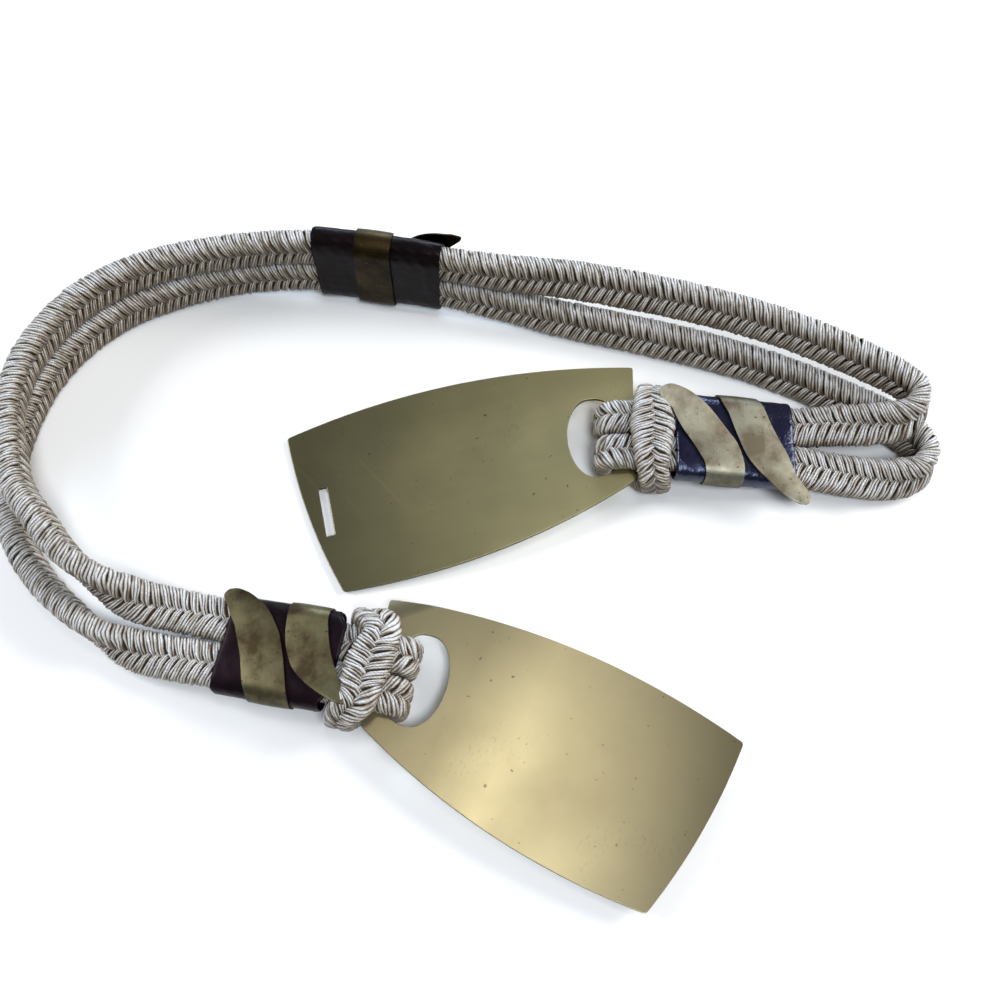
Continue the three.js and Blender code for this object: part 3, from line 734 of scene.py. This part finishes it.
freeCord("braid_top", "cord_top", topCord, looseLook, 1.0)
freeCord("braid_bottom", "cord_bottom", lowerCord, looseLook, 2.0)
freeCord("knot_a", "hitch_a", hitchRoute("a", leadA), knotLook, 3.0)
freeCord("knot_b", "hitch_b", hitchRoute("b", leadB), knotLook, 4.0)
print("cords made")


# plates
plate = {"thickness": 1.25, "bevel": 0.16, "slotTilt": 12, "cornerRound": 1.0, "sideSteps": 24}
plateSides = [(6.0, -19.5, 5.5), (104.5, -29.0, 2.2), (111.0, 29.0, 7.4), (-6.0, 20.0, 0.0)]
cordSlot = {"x": 14.9, "depth": 8.3, "halfLength": 14.4, "square": 3.0, "steps": 96}
hookSlit = {"x": 105.8, "y": -0.8, "width": 3.0, "length": 17.5, "tilt": -3, "round": 0.4}
hook = {
    "x": 100.5, "width": 14.0, "thickness": 1.3, "drop": 4.4, "reach": 6.5,
    "inset": 0.1, "bend": 1.5, "chamfer": 0.8, "root": 0.4,
}
plateA = {"x": 44.8, "y": 24.2, "heading": -164.4, "mirror": -1, "size": 1.018, "slotY": -0.9, "wide": 0.05}
plateB = {"x": -37.8, "y": -57.7, "heading": -27.1, "mirror": 1, "size": 0.982, "slotY": 0.9, "wide": 4.35}
bentB = {"corner": (-5.9, 19.6), "heading": -42, "reach": 8.0, "drop": 1.6, "cuts": 10}
narrowEndHeight, plateReach = 7.5, 112


def roundCorners(points, radius):
    found = []
    for i, point in enumerate(points):
        a, b = unit(points[i - 1] - point), unit(points[(i + 1) % len(points)] - point)
        if a @ b < -0.9:
            found.append(point)
            continue
        found += [bezier(point + a * radius, point, point + b * radius, k / 6) for k in range(7)]
    return found


def plateOutline(place):
    size, across = place["size"], place["size"] * place["mirror"]
    corners = [(x * size, y * across, bulge * across) for x, y, bulge in plateSides]
    points = []
    for i, (x, y, bulge) in enumerate(corners):
        start, end = np.array((x, y)), np.array(corners[(i + 1) % 4][:2])
        run = end - start
        out = np.array((run[1], -run[0])) / np.linalg.norm(run)
        mid = (start + end) / 2 + out * bulge * 2
        points += [bezier(start, mid, end, k / plate["sideSteps"]) for k in range(plate["sideSteps"])]
    return roundCorners(points, plate["cornerRound"])


def slotOutline(place):
    tilt = math.radians(plate["slotTilt"]) * place["mirror"]
    points = []
    for k in range(cordSlot["steps"]):
        angle = 2 * math.pi * k / cordSlot["steps"]
        exponent = 1 if math.cos(angle) > 0 else 2 / cordSlot["square"]
        across = cordSlot["depth"] * powered(math.cos(angle), exponent)
        x, y = turned(across, cordSlot["halfLength"] * powered(math.sin(angle), exponent), tilt)
        points.append(np.array((cordSlot["x"] + x, place["slotY"] * place["mirror"] + y)))
    return points


def slitOutline(place):
    turn = math.radians(-hookSlit["tilt"]) * place["mirror"]
    points = []
    for a, b in ((-1, -1), (1, -1), (1, 1), (-1, 1)):
        x, y = turned(a * hookSlit["width"] / 2, b * hookSlit["length"] / 2, turn)
        points.append(np.array((hookSlit["x"] + x, hookSlit["y"] * place["mirror"] + y)))
    return roundCorners(points, hookSlit["round"])


def plateMatrix(place):
    fall = math.atan2(narrowEndHeight - place["wide"], plateReach)
    turn = Matrix.Rotation(math.radians(place["heading"]), 4, "Z") @ Matrix.Rotation(fall, 4, "Y")
    spot = Vector((np.array((place["x"], place["y"], narrowEndHeight)) - middle) * mm)
    return Matrix.Translation(spot) @ turn


def plateMesh(name, outlines):
    curve = bpy.data.curves.new(name, "CURVE")
    curve.dimensions = "2D"
    curve.fill_mode = "BOTH"
    curve.extrude = (plate["thickness"] / 2 - plate["bevel"]) * mm
    curve.bevel_depth = plate["bevel"] * mm
    curve.bevel_resolution = 2
    curve.offset = -plate["bevel"] * mm
    for outline in outlines:
        spline = curve.splines.new("POLY")
        spline.points.add(len(outline) - 1)
        for point, (x, y) in zip(spline.points, outline):
            point.co = (x * mm, y * mm, 0, 1)
        spline.use_cyclic_u = True
    holder = linked(name, curve)
    bpy.context.view_layer.update()
    mesh = evaluatedMesh(holder)
    bpy.data.objects.remove(holder)
    layer = mesh.uv_layers.get("UVMap") or mesh.uv_layers.new(name="UVMap")
    flat = np.array([mesh.vertices[loop.vertex_index].co[:2] for loop in mesh.loops], float)
    layer.data.foreach_set("uv", flat.ravel())
    mesh.transform(Matrix.Translation((0, 0, plate["thickness"] / 2 * mm)))
    return mesh


def bendCorner(mesh, bend):
    turn = math.radians(bend["heading"])
    inwards = Vector((math.cos(turn), math.sin(turn), 0))
    start = Vector((bend["corner"][0] * mm, bend["corner"][1] * mm, 0))
    reach = bend["reach"] * mm
    build = bmesh.new()
    build.from_mesh(mesh)
    for k in range(1, bend["cuts"] + 1):
        cut = start + inwards * reach * k / bend["cuts"]
        parts = build.verts[:] + build.edges[:] + build.faces[:]
        bmesh.ops.bisect_plane(build, geom=parts, plane_co=cut, plane_no=inwards, dist=1e-7)
    for vertex in build.verts:
        gap = (vertex.co - start).dot(inwards) / reach
        if gap < 1:
            vertex.co.z -= bend["drop"] * mm * (1 - gap) ** 2
    build.to_mesh(mesh)
    build.free()


def addPlate(name, node, place, outlines, material, bend=None):
    mesh = plateMesh(name, outlines)
    if bend:
        bendCorner(mesh, bend)
    mesh.transform(plateMatrix(place))
    for polygon in mesh.polygons:
        polygon.use_smooth = False
    finishPiece(linked(name, mesh), material, node)


def addHook():
    x, drop, thick, inset = hook["x"], hook["drop"], hook["thickness"], hook["inset"]
    half, bend, tip = hook["width"] / 2, hook["bend"], hook["x"] - hook["reach"]
    side = [(x - inset, hook["root"])]
    for k in range(7):
        c, s = math.cos(math.pi / 2 * k / 6), math.sin(math.pi / 2 * k / 6)
        side.append((x - inset - bend + bend * c, -drop + inset + bend - bend * s))
    side += [(tip, -drop + inset), (tip, -drop + thick), (x - thick - hook["chamfer"], -drop + thick)]
    side += [(x - thick, -drop + thick + hook["chamfer"]), (x - thick, hook["root"])]
    points = [(px * mm, y * mm, pz * mm) for y in (-half, half) for px, pz in side]
    count = len(side)
    faces = [tuple(range(count)), tuple(range(2 * count - 1, count - 1, -1))]
    faces += [(i, i + count, (i + 1) % count + count, (i + 1) % count) for i in range(count)]
    obj = meshObject("hook_tongue", points, faces, [p[:2] for p in points], smooth=False)
    obj.data.transform(plateMatrix(plateB))
    finishPiece(obj, brasses["plate_b"])


addPlate("plate_slit", "plate_a", plateA, [plateOutline(plateA), slotOutline(plateA), slitOutline(plateA)],
         brasses["plate_a"])
addPlate("plate_hook", "plate_b", plateB, [plateOutline(plateB), slotOutline(plateB)],
         brasses["plate_b"], bentB)
addHook()
print("plates made")


# leather wraps
wrap = {
    "halfWidth": 14.5, "halfThickness": 3.9, "leather": 1.0, "corner": 3.6, "wideEdge": 4.6, "highEdge": 2.7,
}


def sleeveRing(grow, dip, count=72):
    ring = []
    for k in range(count):
        angle = 2 * math.pi * k / count
        s = math.sin(angle)
        a = (wrap["halfWidth"] + grow) * powered(math.cos(angle), 2 / wrap["wideEdge"])
        b = (wrap["halfThickness"] + grow) * powered(s, 2 / wrap["highEdge"])
        # hollow between the two cords, and less so along the groove of each
        hollow = dip * math.exp(-(a / 3.2) ** 2) + 0.35 * dip * math.exp(-((abs(a) - 7.2) / 1.6) ** 2)
        ring.append((a, b - math.copysign(hollow, s) * min(1, abs(s) * 2)))
    return ring


def wave(x, y, seed):
    value = 0.0
    for k, (fx, fy, size) in enumerate(((0.31, 0.9, 0.5), (0.83, 0.4, 0.3), (1.7, 2.3, 0.2))):
        first = math.sin(fx * x + fy * y * 6 + seed * (k + 1.7))
        value += size * first * math.cos(fy * x - seed + fx * y * 9)
    return value


def towardsKnot(reach, a, b, d, start):
    if not reach:
        return 0.0
    top, side = reach
    share = min(1, max(0, (abs(a) - 10.5) / 3.5)) if b > 0 else 1.0
    full = top + (side - top) * share
    return full * max(0, 1 - (d - start) / 10.0)


def foldLine(d, a, b, folds):
    height = 0.0
    for first, last, level, drop in folds:
        if first < d < last and b < 0:
            t = (d - first) / (last - first)
            height += 0.9 * math.exp(-((a - level + drop * t * t) / 0.6) ** 2) * math.sin(math.pi * t) ** 0.5
    return height


def leather(name, node, route, start, end, material, seed, crease=0.12, knotReach=None, folds=()):
    distances = list(np.arange(start, end, 0.7)) + [end]
    outer, inner = sleeveRing(wrap["leather"], 0.55), sleeveRing(0.15, 0.5)
    count = len(outer)
    line, tangents, wides, outs = route.frames(np.array(distances))
    points, uv = [], []
    for i, d in enumerate(distances):
        tuck = -0.35 * max(0, 1 - min(d - start, end - d) / 0.8) ** 2
        for j, (a, b) in enumerate(outer):
            push = tuck + crease * wave(d, j / count * 6.283, seed)
            swell, spread = 1 + push / 16, 1 + push / 5
            back = tangents[i] * towardsKnot(knotReach, a, b, d, start)
            fold = outs[i] * foldLine(d, a, b, folds)
            points.append((line[i] - back - fold + wides[i] * a * swell + outs[i] * b * spread) * mm)
            uv.append((d * mm, j / count * 0.08))
    faces = gridFaces(len(distances), count, closed=True)
    # both ends: a rim turned in, then a short tube
    for k, i in ((0, 0), (1, len(distances) - 1)):
        base = len(points)
        for depth in (0.0, 6.0):
            d = start + depth if k == 0 else end - depth
            spot, alongAt, wideAt, outAt = (values[0] for values in route.frames(np.array([d])))
            for j, (a, b) in enumerate(inner):
                back = alongAt * towardsKnot(knotReach if k == 0 else None, a, b, d, start)
                points.append((spot - back + wideAt * a + outAt * b) * mm)
                uv.append((d * mm, j / count * 0.08))
        for j in range(count):
            n = (j + 1) % count
            rim, lip, deep = i * count, base, base + count
            ring = (rim + j, lip + j, lip + n, rim + n)
            tube = (lip + j, deep + j, deep + n, lip + n)
            faces += [ring, tube] if k else [ring[::-1], tube[::-1]]
    finishPiece(meshObject(name, points, faces, uv), material, node)


def bandMiddle(lead, x):
    return inBand(lead, x, 0, wrapHeight(wrapStart) - wrapFall["slope"] * (x - wrapStart))


def straightRoute(lead):
    points = [bandMiddle(lead, x) for x in (wrapStart - wrapMargin, lead["wrapEnd"] + wrapMargin)]
    across = bandFrame(lead)[1]
    return Route(points, [across, across], perRow=40)


def backPair(step):
    return (catmull(cord.points, step / (len(cord.points) - 1), True) for cord in (topCord, lowerCord))


def backRoute():
    points, wide = [], []
    for i in range(-1, backWrapRows["span"] * 2 + 2):
        high, low = backPair(backWrapRows["first"] + i / 2)
        points.append((high + low) / 2)
        wide.append(unit(high - low))
    return Route(points, wide)


def backEnd(step):
    high, low = backPair(step)
    gaps = np.linalg.norm(routeBack.line - (high + low) / 2, axis=1)
    return routeBack.distances[np.argmin(gaps)]


wrapMargin = 2
routeA, routeB, routeBack = straightRoute(leadA), straightRoute(leadB), backRoute()
backStart, backStop = backEnd(backWrapRows["first"]), backEnd(backWrapRows["first"] + backWrapRows["span"])
# each fold: from, to, place across, drift
backFolds = [(backStart + 3, backStart + 16, 4.0, 0.3), (backStart + 26, backStop - 0.5, 3.4, 5.5)]
leather("wrap_leather_a", "wrap_a", routeA, wrapMargin, routeA.length - wrapMargin, leathers["a"], 1.0,
        knotReach=(1.8, 1.8))
leather("wrap_leather_b", "wrap_b", routeB, wrapMargin, routeB.length - wrapMargin, leathers["b"], 2.0,
        crease=0.08, knotReach=(4.9, 2.0))
leather("wrap_leather_back", "wrap_back", routeBack, backStart, backStop, leathers["back"], 3.0,
        folds=backFolds)
print("leather made")


# brass ribbons, wound once round each wrap: rows of across, left and right edge, from the tip
leafRows = {
    "aHigh": [(14.0, 8.0, 9.6), (13.1, 5.9, 13.2), (11.2, 4.9, 17.2), (9.0, 6.2, 20.4), (7.0, 9.0, 22.7),
              (4.0, 10.8, 25.5), (1.0, 12.6, 28.0), (-2.0, 14.6, 30.3), (-5.0, 16.6, 31.7),
              (-8.0, 18.3, 32.6), (-11.0, 19.9, 33.1), (-15.0, 20.9, 33.4)],
    "aLow": [(15.0, 25.7, 38.7), (11.0, 27.0, 40.7), (8.0, 28.6, 41.8), (5.0, 29.6, 42.8), (1.5, 30.7, 44.3),
             (-2.0, 31.9, 45.9), (-5.0, 33.0, 47.4), (-8.0, 34.4, 48.5), (-10.5, 36.1, 49.3),
             (-12.8, 38.0, 50.1), (-15.0, 40.4, 51.4), (-17.0, 42.4, 53.0), (-18.8, 44.5, 54.2),
             (-20.4, 46.8, 54.5), (-21.8, 49.3, 54.3), (-22.6, 51.6, 53.4)],
    "bHigh": [(16.1, 43.6, 45.4), (15.4, 40.6, 47.4), (13.8, 37.2, 48.5), (12.2, 34.6, 48.0),
              (10.0, 32.2, 46.2), (7.5, 30.2, 44.6), (4.8, 28.1, 42.5), (2.0, 26.7, 41.0), (-1.0, 25.3, 39.4),
              (-4.0, 24.0, 37.9), (-7.8, 22.6, 36.4), (-11.5, 21.2, 35.0), (-15.0, 20.0, 33.5)],
    "bLow": [(15.0, 14.5, 27.4), (11.2, 14.2, 27.1), (7.8, 13.2, 26.6), (4.4, 12.0, 25.9), (1.0, 10.5, 24.7),
             (-2.0, 8.8, 23.1), (-5.0, 6.9, 21.1), (-7.4, 5.4, 18.4), (-9.2, 4.4, 15.6),
             (-10.9, 3.4, 12.3), (-12.3, 2.6, 8.8), (-13.4, 2.3, 5.4), (-13.8, 2.6, 3.6)],
    "backHigh": [(15.6, 24.0, 26.5), (15.1, 19.0, 28.6), (13.6, 14.6, 28.4), (11.4, 11.4, 26.4),
                 (8.4, 8.4, 23.4), (5.0, 5.2, 19.6), (1.0, 1.8, 15.4), (-3.4, -1.6, 11.6), (-8.0, -4.2, 8.8),
                 (-12.0, -5.8, 7.0), (-15.0, -6.4, 6.2)],
    "backLow": [(15.0, -6.4, 6.0), (11.0, -7.0, 5.2), (6.0, -8.6, 3.4), (1.0, -11.2, 0.4),
                (-4.0, -14.6, -3.4), (-8.0, -18.0, -7.4), (-11.0, -21.0, -11.4), (-13.4, -23.4, -15.6),
                (-14.8, -24.2, -19.4), (-15.2, -23.6, -22.0)],
}
leafLifts = {  # how far each tip stands off its wrap, and over what length
    "aHigh": (4.2, 15.0), "aLow": (-1.2, 8.0), "bHigh": (0.6, 8.0), "bLow": (1.4, 8.0),
    "backHigh": (0.3, 8.0), "backLow": (0.3, 8.0),
}
ribbonSheet = {"thickness": 0.55, "crown": 0.16, "columns": 9, "rise": 0.35, "sharp": 38, "under": 12}


def smoothRows(rows, perRow=6):
    count = (len(rows) - 1) * perRow + 1
    return [catmull(rows, t, False) for t in np.linspace(0, 1, count)]


def edgeAt(rows, a):
    ys, lefts, rights = zip(*sorted(rows, key=lambda row: row[0]))
    return np.interp(a, ys, lefts), np.interp(a, ys, rights)


def ribbonStations(key):
    high, low = leafRows[key + "High"], leafRows[key + "Low"]
    (highBy, highOver), (lowBy, lowOver) = leafLifts[key + "High"], leafLifts[key + "Low"]
    outside = wrap["leather"] + ribbonSheet["rise"]
    w, h, r = (wrap[k] + outside for k in ("halfWidth", "halfThickness", "corner"))
    highRows, lowRows = smoothRows(high), smoothRows(low)
    highEdge, lowEdge = highRows[-1][1:], lowRows[0][1:]
    stations = []

    def corner(a, b, first, edge):
        for k in range(9):
            angle = math.radians(first + 90 * k / 8)
            across = a + r * math.cos(angle)
            stations.append((across, b + r * math.sin(angle), *(edge if b < 0 else edgeAt(edge, across))))

    for y, left, right in highRows:
        if y > r - w:
            gap = max(0, 1 - (high[0][0] - y) / highOver)
            stations.append((y, h + highBy * gap ** 1.5, left, right))
    corner(r - w, h - r, 90, highRows)
    corner(r - w, r - h, 180, highEdge)
    for k in range(1, ribbonSheet["under"]):
        t = k / ribbonSheet["under"]
        edge = np.array(highEdge) * (1 - t) + np.array(lowEdge) * t
        stations.append((r - w + 2 * (w - r) * t, -h, *edge))
    corner(w - r, r - h, 270, lowEdge)
    corner(w - r, h - r, 0, lowRows)
    for y, left, right in lowRows:
        if y < w - r:
            gap = max(0, 1 - (y - low[-1][0]) / lowOver)
            stations.append((y, h + lowBy * gap ** 1.5, left, right))
    return np.array(stations)


def turnOutwards(mesh):
    build = bmesh.new()
    build.from_mesh(mesh)
    bmesh.ops.recalc_face_normals(build, faces=build.faces)
    build.to_mesh(mesh)
    build.free()


def ribbon(key, origin, along, across, outwards):
    thick, columns, stations = ribbonSheet["thickness"], ribbonSheet["columns"], ribbonStations(key)
    section = stations[:, :2]
    tangents = unit(np.gradient(section, axis=0))
    normals = np.stack([-tangents[:, 1], tangents[:, 0]], 1)
    normals *= np.sign(normals[0, 1])
    run = np.concatenate([[0], np.cumsum(np.linalg.norm(np.diff(section, axis=0), axis=1))])
    tops, bottoms, uv = [], [], []
    for i, (a, b, left, right) in enumerate(stations):
        for j in range(columns):
            q = j / (columns - 1)
            place = left + (right - left) * q
            crown = ribbonSheet["crown"] * (1 - (2 * q - 1) ** 2)
            for level, store in ((thick / 2 + crown, tops), (-thick / 2 + crown, bottoms)):
                spot = (a + normals[i, 0] * level, b + normals[i, 1] * level)
                store.append((origin + along * place + across * spot[0] + outwards * spot[1]) * mm)
            uv.append((run[i] * mm, place * mm))
    rows, base = len(stations), len(tops)
    top = gridFaces(rows, columns)
    faces = top + [tuple(v + base for v in f[::-1]) for f in top]
    for i in range(rows - 1):
        for j in (0, columns - 1):
            a, b = i * columns + j, (i + 1) * columns + j
            faces.append((a, b, b + base, a + base) if j else (b, a, a + base, b + base))
    for i in (0, rows - 1):
        for j in range(columns - 1):
            a, b = i * columns + j, i * columns + j + 1
            faces.append((b, a, a + base, b + base) if i else (a, b, b + base, a + base))
    obj = meshObject("leaf_ribbon_" + key, tops + bottoms, faces, uv + uv)
    turnOutwards(obj.data)
    obj.data.set_sharp_from_angle(angle=math.radians(ribbonSheet["sharp"]))
    finishPiece(obj, brasses["ribbon_" + key], "ribbon_" + key)


def bandRibbon(key, lead):
    first, across = bandMiddle(lead, 0), bandFrame(lead)[1]
    direction = unit(bandMiddle(lead, 10) - first)
    ribbon(key, first, direction, across, np.cross(across, direction) * -lead["side"])


bandRibbon("a", leadA)
bandRibbon("b", leadB)
backRibbonShare = 0.48
backMiddle = backStart + (backStop - backStart) * backRibbonShare
backSpot, backAlong, backAcross, _ = (values[0] for values in routeBack.frames(np.array([backMiddle])))
ribbon("back", backSpot, backAlong, backAcross, np.cross(backAcross, backAlong))
print("ribbons made")


# floor and light
floorLook = {"half": 3.0, "below": 0.0003}
floorShade = {"Base Color": (0.92, 0.92, 0.92, 1), "Roughness": 0.9, "Specular IOR Level": 0.1}
worldLight = {"Color": (0.80, 0.86, 0.95, 1), "Strength": 0.17}
areaLights = {  # direction, distance, size, power, colour
    "left": ((-0.80, 0.22, 0.56), 1.5, (0.6, 0.6), 12.0, (0.93, 0.96, 1.0)),
    "right": ((0.82, 0.25, 0.52), 1.5, (0.6, 0.6), 16.0, (1.0, 0.97, 0.92)),
    "back": ((0.10, 0.92, 0.38), 1.5, (0.9, 0.35), 13.0, (0.70, 0.84, 1.0)),
    "plateGlow": ((0.0755, 0.0765, 1.192), 1.2, (0.14, 0.14), 1.0, (1.0, 0.97, 0.86)),
    "above": ((0.20, -0.42, 0.88), 1.6, (0.5, 0.5), 14.0, (0.90, 0.95, 1.0)),
}


def addFloor():
    half = floorLook["half"]
    corners = [(-half, -half, 0), (half, -half, 0), (half, half, 0), (-half, half, 0)]
    floor = meshObject("floor", corners, [(0, 1, 2, 3)], [p[:2] for p in corners])
    floor.data.materials.append(plainMaterial("floor", floorShade))
    floor.location.z = cadBox[0].z - floorLook["below"]


def addWorld():
    world = bpy.data.worlds.new("World")
    bpy.context.scene.world = world
    world.use_nodes = True
    Kit(world.node_tree).give(world.node_tree.nodes["Background"], worldLight)


def areaLight(name, direction, distance, size, power, colour):
    data = bpy.data.lights.new(name, "AREA")
    data.shape = "RECTANGLE"
    data.size, data.size_y = size
    data.energy = power
    data.color = colour
    obj = linked(name, data)
    away = Vector(direction).normalized()
    obj.location = away * distance
    obj.rotation_euler = away.to_track_quat("Z", "Y").to_euler()


addFloor()
addWorld()
for name, settings in areaLights.items():
    areaLight(name, *settings)
bpy.context.scene.view_settings.view_transform = "Standard"
print("light made")
